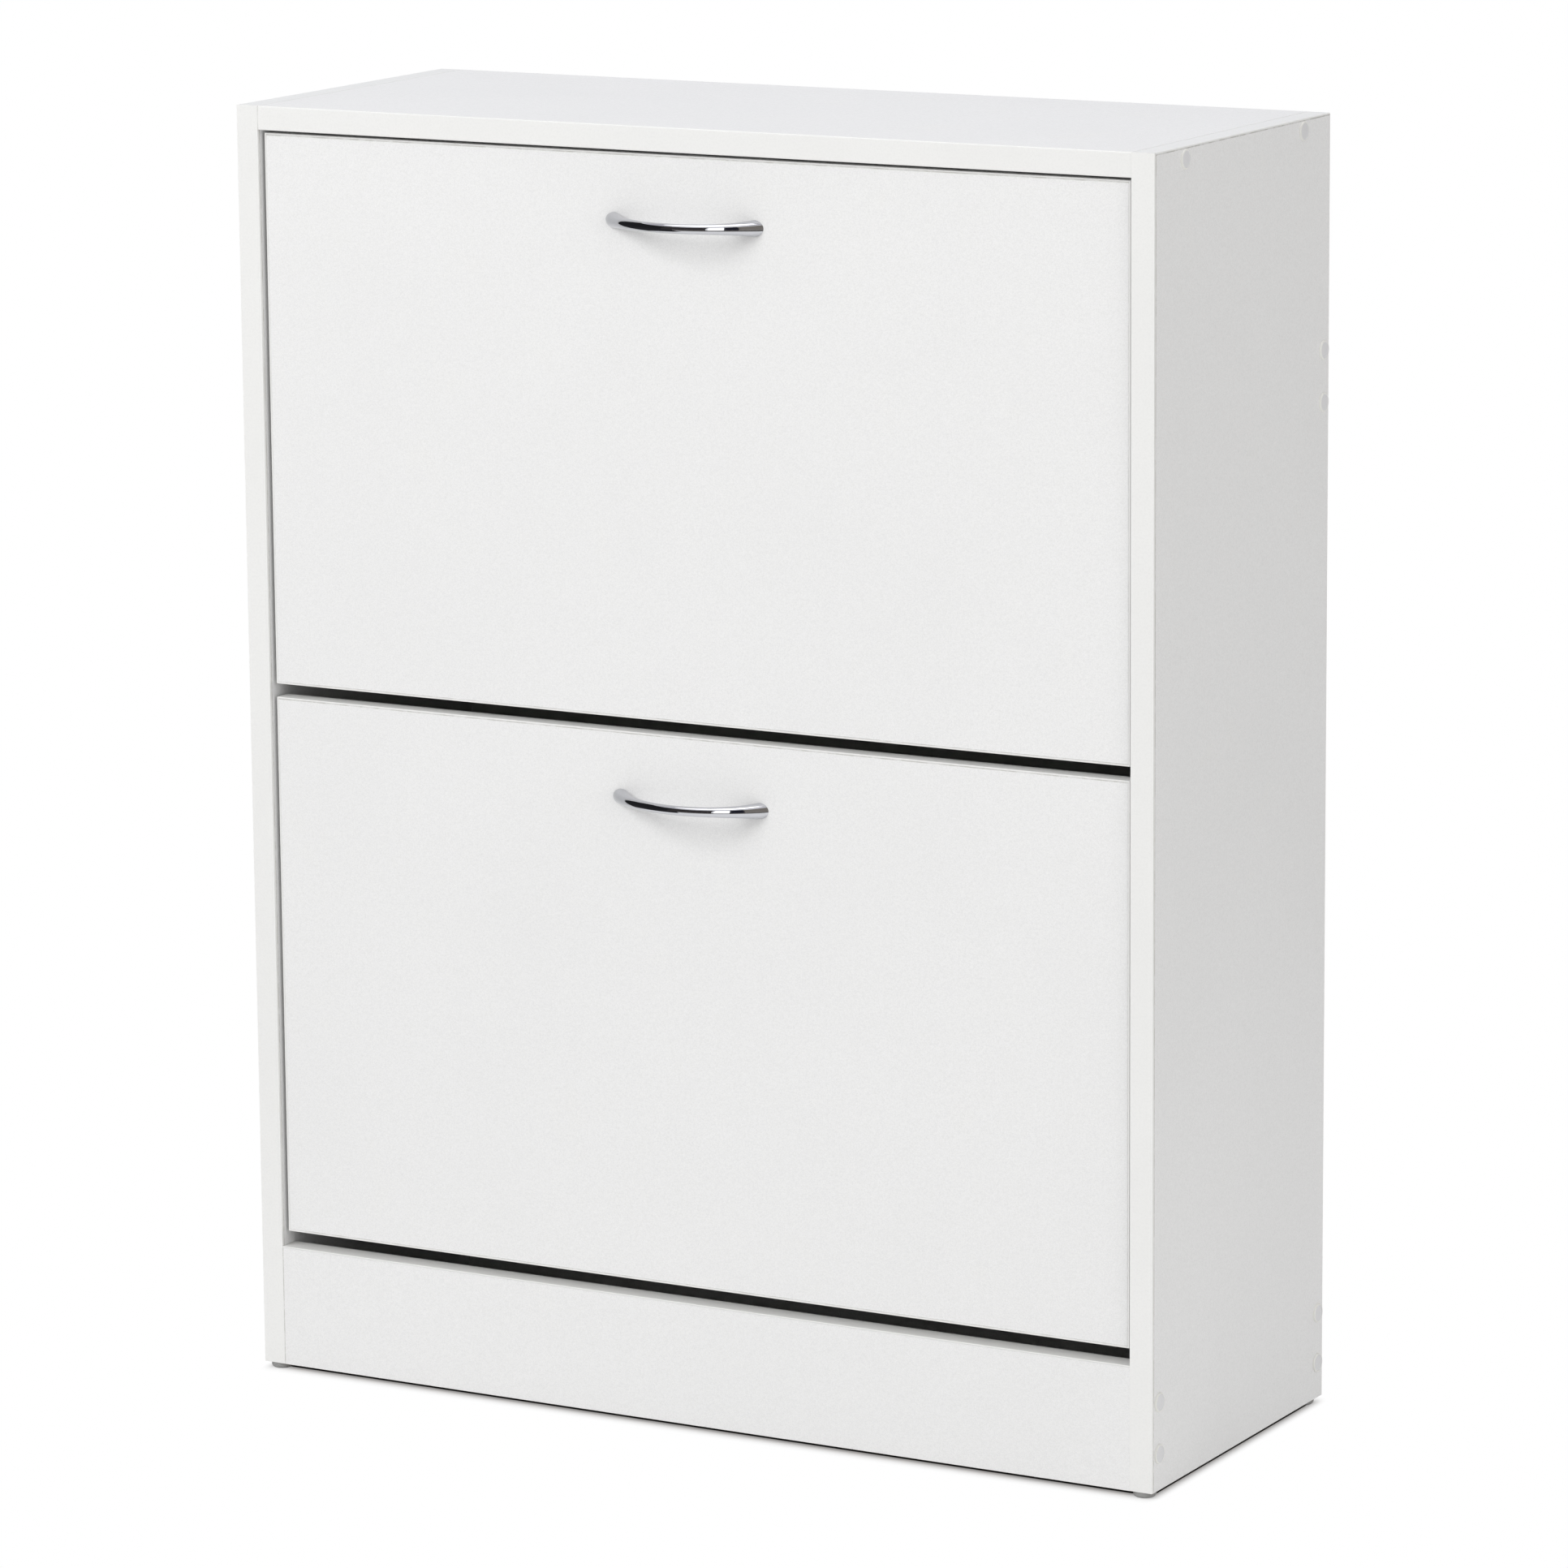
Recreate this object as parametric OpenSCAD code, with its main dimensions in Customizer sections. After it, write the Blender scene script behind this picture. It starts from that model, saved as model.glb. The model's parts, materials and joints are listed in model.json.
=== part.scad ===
// Two-flap tilt-out shoe cabinet. Millimetres.
// X runs to the right, Y to the back and Z up. The floor is z = 0.
// The origin is the middle of the footprint of the whole cabinet, handles included.

/* [Cabinet] */
// Width across the two side panels
body_w = 630; // [560:5:760]
// Depth of a side panel, front to back
body_d = 240; // [230:1:270]
// Height of a side panel
body_h = 803; // [750:1:860]
// Thickness of the side, top, plinth and rail boards
board_t = 15; // [14:0.5:18]
// Thickness of the rounded banding on the front edges
band_t = 2; // [1:0.25:3]
// Thickness of the thin banding on all other edges
thin_t = 1; // [0.5:0.25:1.5]
// Height of the plinth under the lower flap
plinth_h = 77.5; // [70:0.5:100]
// Height of the upper rear rail
rail_h = 70; // [60:1:90]
// Top of the cabinet down to the middle of the upper rear rail
rail_drop = 159.5; // [140:0.5:200]

/* [Back] */
// Thickness of the hardboard sheets
sheet_t = 3; // [2.5:0.1:4]
// Distance the back stays inside the outer faces
back_in = 3; // [2:0.5:6]
// Half height of the lips of the joining strip
strip_lip = 6; // [4:0.5:9]
// Thickness of the joining strip's lips
strip_t = 1; // [1:0.1:1.6]
// Distance between the two wall-fixing holes
wall_pitch = 440; // [370:5:480]
// Radius of a wall-fixing hole
wall_r = 3; // [2:0.25:4]

/* [Doors] */
// Thickness of a flap door
door_t = 12; // [10:0.5:13]
// Distance of the door faces behind the cabinet front
door_in = 4; // [2:0.5:6]
// Gap between the top panel and the upper door
gap_top = 2; // [2:0.5:5]
// Gap between the two doors
gap_mid = 8.5; // [8:0.5:12]
// Gap between the lower door and the plinth
gap_low = 9.5; // [8:0.5:14]
// Gap beside a door
gap_side = 2.4; // [1.5:0.1:4]

/* [Handle] */
// Distance between the two handle screws
grip_pitch = 96; // [64:16:160]
// How far a handle stands out from its door
grip_out = 25; // [22:0.5:32]
// Radius of the handle bar
grip_r = 3.1; // [2.5:0.1:4]
// Radius of the handle ends
grip_end_r = 5; // [4.5:0.1:6]
// Top of a door down to its handle
grip_drop = 41; // [30:0.5:60]

/* [Hinge] */
// Door face to the pivot, front to back
piv_back = 22; // [20:0.5:24]
// Bottom of the door up to the pivot
piv_up = 30; // [28:0.5:45]
// Radius of a pivot pin
pin_r = 4; // [3:0.25:5]
// Clearance between a pivot pin and its bore
pin_play = 0.06; // [0.02:0.01:0.1]
// Angle a flap opens
open_angle = 45; // [30:1:45]
// Distance of the stop pin from the pivot
stop_arm = 60; // [50:1:62]
// Direction from the pivot to the stop pin
stop_dir = 60; // [50:1:65]
// Radius of a stop pin
stop_r = 3; // [2:0.25:4]

/* [Rack] */
// Room between the rack's swing and what is above it
rack_room = 15; // [10:1:30]
// Room between the rack and the rear rails
rack_rear = 17; // [12:1:30]
// Inner face of a side panel to the inner face of the rack plate
rack_set = 10; // [9:0.5:12]
// Thickness of the rack plate's web
web_t = 2.5; // [2:0.25:3.5]
// Width of the rim around a rack plate
rim_w = 8; // [6:0.5:10]
// Depth of the front shoe pocket at its floor
pocket_y = 75; // [65:1:85]
// Drop of the front pocket's floor below the pivot
floor_z = 18.5; // [12:0.5:19]

/* [Fixings] */
// Radius of a carcass screw head
head_r = 5; // [4.5:0.1:5.5]
// Radius of a screw cover cap
cap_r = 6; // [5.75:0.05:7]
// Thickness of a screw cover cap
cap_t = 1.2; // [0.8:0.1:2]
// Distance between the two screws of a rail
rail_pitch = 32; // [24:1:40]
// Radius of a foot glide
foot_r = 7; // [6:0.25:8]
// Height of a foot glide
foot_h = 4; // [3.5:0.25:8]

/* [Hidden] */
e = 0.01;
// how much wider a round end is than its bar
knob = 0.2;
// fits
play = 0.05;
slip = 0.1;
air = 0.3;
// cabinet box
grip_reach = grip_out - door_in;
front_y = (grip_reach - body_d - sheet_t - strip_t) / 2;
rear_y = front_y + body_d;
in_x = body_w / 2 - board_t;
mid_x = in_x + board_t / 2;
top_z = foot_h + body_h;
band_r = band_t * 0.4;
thin_r = thin_t * 0.75;
plinth_z = foot_h + plinth_h;
rail_z = top_z - rail_drop;
low_rail_z = foot_h + plinth_h / 2;
// doors
door_w = 2 * (in_x - gap_side);
door_h = (body_h - board_t - gap_top - gap_mid - gap_low - plinth_h) / 2;
door_y = front_y + door_in;
door_back = door_y + door_t;
low_z = plinth_z + gap_low;
up_z = low_z + door_h + gap_mid;
// pivots
piv_y = door_y + piv_back;
low_piv_z = low_z + piv_up;
up_piv_z = up_z + piv_up;
stop_y = stop_arm * cos(stop_dir);
stop_z = stop_arm * sin(stop_dir);
plug_r = 5;
plug_d = 10;
flange_r = 8;
flange_t = 1.5;
// rack plate, seen from the side with the pivot at 0, 0
heel_r = sqrt(piv_back * piv_back + piv_up * piv_up);
rack_r = min(door_h + gap_mid - heel_r, door_h + gap_top - piv_up) - rack_room;
rack_y0 = door_t - piv_back;
rack_y1 = body_d - board_t - door_in - piv_back - rack_rear;
rim = rim_w / 2;
tip_y = rack_y1 - rim;
tip_z = sqrt((rack_r - rim) * (rack_r - rim) - tip_y * tip_y);
nose_y = rack_y0 + rim + knob / 2;
sole_z = -floor_z - sheet_t / 2 - 2;
heel_y = pocket_y + 9;
step_z = 20;
notch_y = (pocket_y + rack_y1) / 2 - 18;
notch_z = tip_z - 26;
web_in = in_x - rack_set;
rib_out = in_x - 3;
hub_out = in_x - 2;
hub_r = 9;
// rack boards: start and end of each middle line
div_step = 2;
div_drop = 1.5;
div_run = 19;
board_end = 10;
div_y0 = pocket_y + div_step;
div_z0 = -floor_z - div_drop;
div_y1 = div_y0 + div_run;
div_z1 = notch_z - board_end;
div_lean = (div_y1 - div_y0) / (div_z1 - div_z0);
wall_foot = 14;
wall_head = 8;
wall_y0 = rack_y1 - wall_foot;
wall_z0 = 34;
wall_y1 = rack_y1 - wall_head;
wall_z1 = tip_z - board_end;
shelf_z0 = 12;
shelf_y0 = div_y0 + (shelf_z0 - div_z0) * div_lean + sheet_t / 2 + 0.6;
shelf_y1 = wall_y0 - sheet_t / 2 - 1.2;
shelf_z1 = 32;
sheet_x = web_in - air;
slot_w = sheet_t + 2 * slip;
slot_deep = 6;
// rack plate windows: width, then where each middle line starts and ends
front_win_w = 34;
front_win_y = 34;
front_win_z = 108;
front_win_end = 44;
rear_win_w = 38;
rear_win_z = 78;
rear_win_end = 50;
rear_win_step = 3;
// rack tabs and their screws
tab_x = 18;
tab_t = 2.5;
tab_h = 40;
tab_z = [8, tip_z - 60];
tab_screw_x = web_in - 10;
tab_screws = [tab_z[0] + 10, tab_z[0] + 30, tab_z[1] + 10, tab_z[1] + 30];
// handle bow
grip_end = grip_end_r;
grip_mid = grip_out - grip_r;
grip_sag = grip_mid - grip_end;
grip_half = grip_pitch / 2;
bow_r = (grip_half * grip_half + grip_sag * grip_sag) / (2 * grip_sag);
bow_a = asin(grip_half / bow_r);
// carcass screws: y and z of each screw in a side panel
neck_r = 3.4;
core_r = 2.5;
core_l = 34;
head_t = 2.5;
key_w = 4;
key_d = 2;
screw_yz = [
  [front_y + 40, top_z - board_t / 2],
  [rear_y - 38, top_z - board_t / 2],
  [rear_y - board_t / 2, rail_z + rail_pitch / 2],
  [rear_y - board_t / 2, rail_z - rail_pitch / 2],
  [rear_y - board_t / 2, low_rail_z + rail_pitch / 2],
  [rear_y - board_t / 2, low_rail_z - rail_pitch / 2],
  [front_y + board_t * 0.6, low_rail_z + rail_pitch / 2],
  [front_y + board_t * 0.6, low_rail_z - rail_pitch / 2]
];
// back sheets and nails: x and z of each nail
joint_z = foot_h + body_h / 2;
back_x = body_w / 2 - back_in;
strip_web = 1.5;
nail_r = 0.75;
nail_l = 14;
nail_head_r = 2.2;
nail_head_t = 0.8;
side_rows = [
  low_rail_z, foot_h + body_h * 0.2, foot_h + body_h * 0.32, foot_h + body_h * 0.45,
  foot_h + body_h * 0.55, foot_h + body_h * 0.66, rail_z, foot_h + body_h * 0.95
];
cross_x = [-in_x * 0.5, 0, in_x * 0.5];
top_nail_z = top_z - board_t / 2;
// foot glides
foot_x = body_w / 2 - 8.5;
foot_front_y = front_y + foot_r + 0.5;
foot_rear_y = rear_y - foot_r - 3;
foot_y = [foot_front_y, foot_rear_y];
glide_nail_r = 1;
glide_nail_l = 13;
glide_head_r = 2.2;
glide_head_t = 1;
glide_sunk = 0.8;

// ---- shapes used more than once ----

// a cylinder along +X starting at x = 0
module rod_x(r, l) {
  rotate([0, 90, 0]) cylinder(r = r, h = l, $fn = 48);
}

// a cylinder along +Y starting at y = 0
module rod_y(r, l) {
  rotate([-90, 0, 0]) cylinder(r = r, h = l, $fn = 48);
}

// an upright solid from a side view drawn in y and z
module side_view(x0, x1) {
  translate([x0, 0, 0]) rotate([90, 0, 90]) linear_extrude(x1 - x0) children();
}

// banding cut across: flat at the back, both front corners round
module band_cut(w, t, r) {
  intersection() {
    translate([-w / 2, 0]) square([w, t]);
    union() {
      translate([-w / 2, r]) square([w, t - r]);
      translate([-w / 2 + r, 0]) square([w - 2 * r, t]);
      translate([-w / 2 + r, r]) circle(r = r, $fn = 48);
      translate([w / 2 - r, r]) circle(r = r, $fn = 48);
    }
  }
}

// a straight bar between two points, square ends
module bar(y0, z0, y1, z1, w) {
  l = sqrt((y1 - y0) * (y1 - y0) + (z1 - z0) * (z1 - z0));
  translate([y0, z0]) rotate(atan2(z1 - z0, y1 - y0)) translate([0, -w / 2]) square([l, w]);
}

// a straight bar between two points, round ends a hair wider than the bar
module stick(y0, z0, y1, z1, w) {
  bar(y0, z0, y1, z1, w);
  translate([y0, z0]) circle(d = w + knob, $fn = 48);
  translate([y1, z1]) circle(d = w + knob, $fn = 48);
}

// an arc of width w around the pivot, round ends
module arc_slot(r, w, a0, a1) {
  intersection() {
    difference() {
      circle(r = r + w / 2, $fn = 96);
      circle(r = r - w / 2, $fn = 96);
    }
    polygon([[0, 0], [2 * r * cos(a0), 2 * r * sin(a0)], [2 * r * cos(a1), 2 * r * sin(a1)]]);
  }
  translate([r * cos(a0), r * sin(a0)]) circle(d = w + knob / 2, $fn = 48);
  translate([r * cos(a1), r * sin(a1)]) circle(d = w + knob / 2, $fn = 48);
}

// ---- cabinet ----

module carcass_screw() {
  difference() {
    union() {
      rod_x(head_r, head_t);
      rod_x(neck_r, board_t);
      rod_x(core_r, board_t + core_l);
    }
    translate([-e, 0, 0]) rotate([0, 90, 0])
      cylinder(d = key_w / cos(30), h = key_d + e, $fn = 6);
  }
}

// the room a carcass screw takes, starting outside the panel
module carcass_screw_hole() {
  translate([-e, 0, 0]) rod_x(head_r + play, head_t + e);
  rod_x(neck_r + play, board_t + e);
  rod_x(core_r + play, board_t + core_l + 1);
}

// repeats its child at every carcass screw of both sides, pointing inwards
module at_screws() {
  for (p = screw_yz) {
    translate([-body_w / 2, p[0], p[1]]) children();
    translate([body_w / 2, p[0], p[1]]) mirror([1, 0, 0]) children();
  }
}

// repeats its child at every back nail, pointing forwards
module at_nails() {
  for (s = [-1, 1]) {
    for (z = side_rows) {
      translate([s * mid_x, rear_y + sheet_t, z]) children();
    }
  }
  for (x = cross_x) {
    translate([x, rear_y + sheet_t, low_rail_z]) children();
    translate([x, rear_y + sheet_t, rail_z]) children();
    translate([x, rear_y + sheet_t, top_nail_z]) children();
  }
}

module nail_hole() {
  translate([0, e, 0]) mirror([0, 1, 0]) rod_y(nail_r + play, nail_l + 1);
}

module wall_holes() {
  for (s = [-1, 1]) {
    translate([s * wall_pitch / 2, rear_y - board_t - 1, rail_z])
      rod_y(wall_r, board_t + sheet_t + 2);
  }
}

// repeats its child at each pivot in a side panel's inner face
module at_pivots() {
  for (z = [low_piv_z, up_piv_z]) {
    translate([in_x, piv_y, z]) children();
    translate([-in_x, piv_y, z]) mirror([1, 0, 0]) children();
  }
}

module glide_nail_hole() {
  cylinder(r = glide_nail_r + play, h = foot_h + glide_nail_l + 2, $fn = 48);
}

module at_glides() {
  for (s = [-1, 1]) {
    for (y = foot_y) {
      translate([s * foot_x, y, 0]) children();
    }
  }
}

module side_panel_blank() {
  translate([in_x, front_y + band_t, foot_h])
    cube([board_t, body_d - band_t, body_h - thin_t]);
}

module side_panel_cuts() {
  at_screws() carcass_screw_hole();
  at_nails() nail_hole();
  at_pivots() {
    translate([-e, 0, 0]) rod_x(plug_r + play, plug_d + e);
    translate([-e, stop_y, stop_z]) rod_x(stop_r + play, plug_d + e);
  }
  at_glides() glide_nail_hole();
}

module side_panel_left() {
  color("white") difference() {
    mirror([1, 0, 0]) side_panel_blank();
    side_panel_cuts();
  }
}

module side_panel_right() {
  color("white") difference() {
    side_panel_blank();
    side_panel_cuts();
  }
}

module side_front_band(s) {
  translate([s * mid_x, front_y, foot_h]) linear_extrude(body_h) band_cut(board_t, band_t, band_r);
}

module side_front_band_left() {
  color("ivory") side_front_band(-1);
}

module side_front_band_right() {
  color("ivory") side_front_band(1);
}

module side_top_band(s) {
  translate([s * mid_x, front_y + band_t, top_z]) rotate([-90, 0, 0])
    linear_extrude(body_d - band_t) band_cut(board_t, thin_t, thin_r);
}

module side_top_band_left() {
  color("ivory") side_top_band(-1);
}

module side_top_band_right() {
  color("ivory") side_top_band(1);
}

module top_panel() {
  color("white") difference() {
    translate([-in_x, front_y + band_t, top_z - board_t])
      cube([2 * in_x, body_d - band_t, board_t]);
    at_screws() carcass_screw_hole();
    at_nails() nail_hole();
  }
}

module top_front_band() {
  color("ivory") translate([-in_x, front_y, top_z - board_t / 2]) rotate([0, 90, 0])
    linear_extrude(2 * in_x) band_cut(board_t, band_t, band_r);
}

module plinth_panel() {
  color("white") difference() {
    translate([-in_x, front_y, foot_h]) cube([2 * in_x, board_t, plinth_h - thin_t]);
    at_screws() carcass_screw_hole();
  }
}

module plinth_top_band() {
  color("ivory") translate([-in_x, front_y + board_t / 2, plinth_z]) rotate([90, 0, 90])
    linear_extrude(2 * in_x) mirror([0, 1]) band_cut(board_t, thin_t, thin_r);
}

module rear_rail_lower() {
  color("white") difference() {
    translate([-in_x, rear_y - board_t, foot_h]) cube([2 * in_x, board_t, plinth_h]);
    at_screws() carcass_screw_hole();
    at_nails() nail_hole();
  }
}

module rear_rail_upper() {
  color("white") difference() {
    translate([-in_x, rear_y - board_t, rail_z - rail_h / 2]) cube([2 * in_x, board_t, rail_h]);
    at_screws() carcass_screw_hole();
    at_nails() nail_hole();
    wall_holes();
  }
}

module back_sheet(z0, z1) {
  difference() {
    translate([-back_x, rear_y, z0]) cube([2 * back_x, sheet_t, z1 - z0]);
    at_nails() nail_hole();
    wall_holes();
  }
}

module back_sheet_lower() {
  color("gainsboro") back_sheet(foot_h + back_in, joint_z - strip_web / 2);
}

module back_sheet_upper() {
  color("gainsboro") back_sheet(joint_z + strip_web / 2, top_z - back_in);
}

module back_joint_strip() {
  x = in_x - air;
  color("white") translate([-x, rear_y, joint_z]) {
    translate([0, -strip_t, -strip_lip]) cube([2 * x, strip_t, 2 * strip_lip]);
    translate([0, sheet_t, -strip_lip]) cube([2 * x, strip_t, 2 * strip_lip]);
    translate([0, -strip_t, -strip_web / 2])
      cube([2 * x, sheet_t + 2 * strip_t, strip_web]);
  }
}

module back_nails() {
  color("silver") at_nails() {
    rod_y(nail_head_r, nail_head_t);
    translate([0, e, 0]) mirror([0, 1, 0]) rod_y(nail_r, nail_l + e);
  }
}

module carcass_screws() {
  color("silver") at_screws() carcass_screw();
}

module screw_cap() {
  mirror([1, 0, 0]) rotate([0, 90, 0]) rotate_extrude($fn = 48)
    polygon([[0, 0], [cap_r, 0], [cap_r, cap_t * 0.4], [cap_r - cap_t * 0.6, cap_t], [0, cap_t]]);
  translate([-e, 0, 0]) rotate([0, 90, 0])
    cylinder(d = (key_w - 0.1) / cos(30), h = key_d - 0.3 + e, $fn = 6);
}

module screw_caps() {
  color("whitesmoke") at_screws() screw_cap();
}

module foot_glide() {
  soft = foot_h / 2;
  difference() {
    rotate_extrude($fn = 64) {
      square([foot_r - soft, foot_h]);
      translate([0, soft]) square([foot_r, foot_h - soft]);
      translate([foot_r - soft, soft]) circle(r = soft, $fn = 48);
    }
    translate([0, 0, -e]) cylinder(r = glide_head_r + slip, h = glide_sunk + glide_head_t + e, $fn = 48);
    translate([0, 0, -e]) glide_nail_hole();
  }
}

module foot_glide_front_left() {
  color("dimgray") translate([-foot_x, foot_front_y, 0]) foot_glide();
}

module foot_glide_front_right() {
  color("dimgray") translate([foot_x, foot_front_y, 0]) foot_glide();
}

module foot_glide_rear_left() {
  color("dimgray") translate([-foot_x, foot_rear_y, 0]) foot_glide();
}

module foot_glide_rear_right() {
  color("dimgray") translate([foot_x, foot_rear_y, 0]) foot_glide();
}

module glide_nails() {
  color("silver") at_glides() translate([0, 0, glide_sunk]) {
    cylinder(r = glide_head_r, h = glide_head_t, $fn = 48);
    cylinder(r = glide_nail_r, h = foot_h + glide_nail_l, $fn = 48);
  }
}

module pivot_plugs() {
  color("whitesmoke") at_pivots() {
    rod_x(plug_r, plug_d - 0.2);
    mirror([1, 0, 0]) rod_x(flange_r, flange_t);
    mirror([1, 0, 0]) rod_x(pin_r, rack_set - 1);
  }
}

module stop_pins() {
  color("silver") at_pivots() translate([0, stop_y, stop_z]) {
    rod_x(stop_r, plug_d - 0.2);
    mirror([1, 0, 0]) translate([-e, 0, 0]) rod_x(stop_r, rack_set - 0.5);
  }
}

// ---- flap: everything below is drawn with the bottom of its door at z = 0 ----

// repeats its child at the two handle screws, y = 0 on the door face
module at_grip() {
  for (s = [-1, 1]) {
    translate([s * grip_half, door_y, door_h - grip_drop]) children();
  }
}

// repeats its child at the rack screws, y = 0 on the door's rear face
module at_rack_screws() {
  for (s = [-1, 1]) {
    for (z = tab_screws) {
      translate([s * tab_screw_x, door_back, piv_up + z]) children();
    }
  }
}

module door_core(out) {
  translate([-door_w / 2 + thin_t - out, door_y, thin_t - out])
    cube([door_w - 2 * thin_t + 2 * out, door_t, door_h - 2 * thin_t + 2 * out]);
}

module door_panel() {
  color("white") difference() {
    door_core(0);
    at_grip() translate([0, -e, 0]) rod_y(2.2, door_t + 1);
    at_rack_screws() translate([0, e, 0]) mirror([0, 1, 0]) rod_y(1.5 + play, door_t - 3);
  }
}

module door_band() {
  color("ivory") difference() {
    door_core(thin_t);
    translate([0, -1, 0]) door_core(0);
    translate([0, 1, 0]) door_core(0);
  }
}

module handle() {
  color("silver") difference() {
    union() {
      translate([0, door_y - grip_mid + bow_r, door_h - grip_drop]) rotate([0, 0, -90 - bow_a])
        rotate_extrude(angle = 2 * bow_a, $fn = 128)
          translate([bow_r, 0]) circle(r = grip_r, $fn = 48);
      at_grip() {
        translate([0, -grip_end, 0]) rod_y(grip_end_r, grip_end);
        translate([0, -grip_end, 0]) sphere(r = grip_end_r, $fn = 64);
      }
    }
    at_grip() translate([0, e, 0]) mirror([0, 1, 0]) rod_y(2 + play, grip_end + 3);
  }
}

module handle_screws() {
  color("silver") at_grip() {
    translate([0, -grip_end - 2.5, 0]) rod_y(2, door_t + grip_end + 2.5);
    translate([0, door_t, 0]) rod_y(4, 2.4);
  }
}

module rack_rim(w) {
  stick(nose_y, sole_z, heel_y, sole_z, w);
  stick(heel_y, sole_z, tip_y, step_z, w);
  stick(tip_y, step_z, tip_y, tip_z, w);
  stick(tip_y, tip_z, notch_y, notch_z, w);
  stick(notch_y, notch_z, nose_y, tip_z, w);
  stick(nose_y, tip_z, nose_y, sole_z, w);
}

module rack_web() {
  polygon([[nose_y, sole_z], [heel_y, sole_z], [tip_y, step_z],
    [tip_y, tip_z], [notch_y, notch_z], [nose_y, tip_z]]);
  rack_rim(rim_w);
}

module rack_windows() {
  stick(front_win_y, front_win_z, front_win_y, notch_z - front_win_end, front_win_w);
  stick((div_y1 + wall_y0) / 2 - rear_win_step, rear_win_z,
    (div_y1 + wall_y1) / 2, notch_z - rear_win_end, rear_win_w);
}

module rack_bars(w) {
  bar(rack_y0 + air, -floor_z, pocket_y, -floor_z, w);
  bar(div_y0, div_z0, div_y1, div_z1, w);
  bar(shelf_y0, shelf_z0, shelf_y1, shelf_z1, w);
  bar(wall_y0, wall_z0, wall_y1, wall_z1, w);
}

// right-hand rack plate around its pivot
module rack_plate() {
  difference() {
    union() {
      side_view(web_in, web_in + web_t) difference() {
        rack_web();
        rack_windows();
      }
      side_view(web_in, rib_out) difference() {
        union() {
          rack_rim(3);
          arc_slot(stop_arm, 2 * stop_r + 6, stop_dir - open_angle, stop_dir);
        }
        circle(r = hub_r - 1, $fn = 48);
      }
      side_view(web_in, hub_out) circle(r = hub_r, $fn = 64);
      side_view(web_in - slot_deep, web_in) intersection() {
        rack_bars(slot_w + 3);
        rack_web();
      }
      for (z = tab_z) {
        translate([web_in - tab_x, rack_y0, z]) cube([tab_x + 1, tab_t, tab_h]);
      }
    }
    side_view(web_in - 1, hub_out + 1) circle(r = pin_r + pin_play, $fn = 64);
    side_view(web_in - slot_deep - 1, rib_out + 1)
      arc_slot(stop_arm, 2 * stop_r + 2 * air, stop_dir - open_angle, stop_dir);
    side_view(web_in - slot_deep - 1, web_in) rack_bars(slot_w);
    for (z = tab_screws) {
      translate([tab_screw_x, rack_y0 - 1, z]) rod_y(1.5 + play, tab_t + 2);
    }
  }
}

module rack_side(s) {
  color("lightgray") translate([0, piv_y, piv_up]) mirror([s < 0 ? 1 : 0, 0, 0]) rack_plate();
}

module rack_sheet() {
  color("gainsboro") translate([0, piv_y, piv_up]) side_view(-sheet_x, sheet_x) children();
}

module rack_floor() {
  rack_sheet() bar(rack_y0 + air, -floor_z, pocket_y, -floor_z, sheet_t);
}

module rack_divider() {
  rack_sheet() bar(div_y0, div_z0, div_y1, div_z1, sheet_t);
}

module rack_shelf() {
  rack_sheet() bar(shelf_y0, shelf_z0, shelf_y1, shelf_z1, sheet_t);
}

module rack_wall() {
  rack_sheet() bar(wall_y0, wall_z0, wall_y1, wall_z1, sheet_t);
}

module rack_screws() {
  color("silver") at_rack_screws() translate([0, tab_t, 0]) {
    rod_y(3.2, 1.8);
    mirror([0, 1, 0]) translate([0, -e, 0]) rod_y(1.5, tab_t + door_t - 4);
  }
}

// ---- the two flaps in place ----

module on_upper() {
  translate([0, 0, up_z]) children();
}

module on_lower() {
  translate([0, 0, low_z]) children();
}

module upper_door_panel() {
  on_upper() door_panel();
}

module upper_door_band() {
  on_upper() door_band();
}

module upper_handle() {
  on_upper() handle();
}

module upper_handle_screws() {
  on_upper() handle_screws();
}

module upper_rack_side_left() {
  on_upper() rack_side(-1);
}

module upper_rack_side_right() {
  on_upper() rack_side(1);
}

module upper_rack_floor() {
  on_upper() rack_floor();
}

module upper_rack_divider() {
  on_upper() rack_divider();
}

module upper_rack_shelf() {
  on_upper() rack_shelf();
}

module upper_rack_wall() {
  on_upper() rack_wall();
}

module upper_rack_screws() {
  on_upper() rack_screws();
}

module lower_door_panel() {
  on_lower() door_panel();
}

module lower_door_band() {
  on_lower() door_band();
}

module lower_handle() {
  on_lower() handle();
}

module lower_handle_screws() {
  on_lower() handle_screws();
}

module lower_rack_side_left() {
  on_lower() rack_side(-1);
}

module lower_rack_side_right() {
  on_lower() rack_side(1);
}

module lower_rack_floor() {
  on_lower() rack_floor();
}

module lower_rack_divider() {
  on_lower() rack_divider();
}

module lower_rack_shelf() {
  on_lower() rack_shelf();
}

module lower_rack_wall() {
  on_lower() rack_wall();
}

module lower_rack_screws() {
  on_lower() rack_screws();
}

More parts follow.
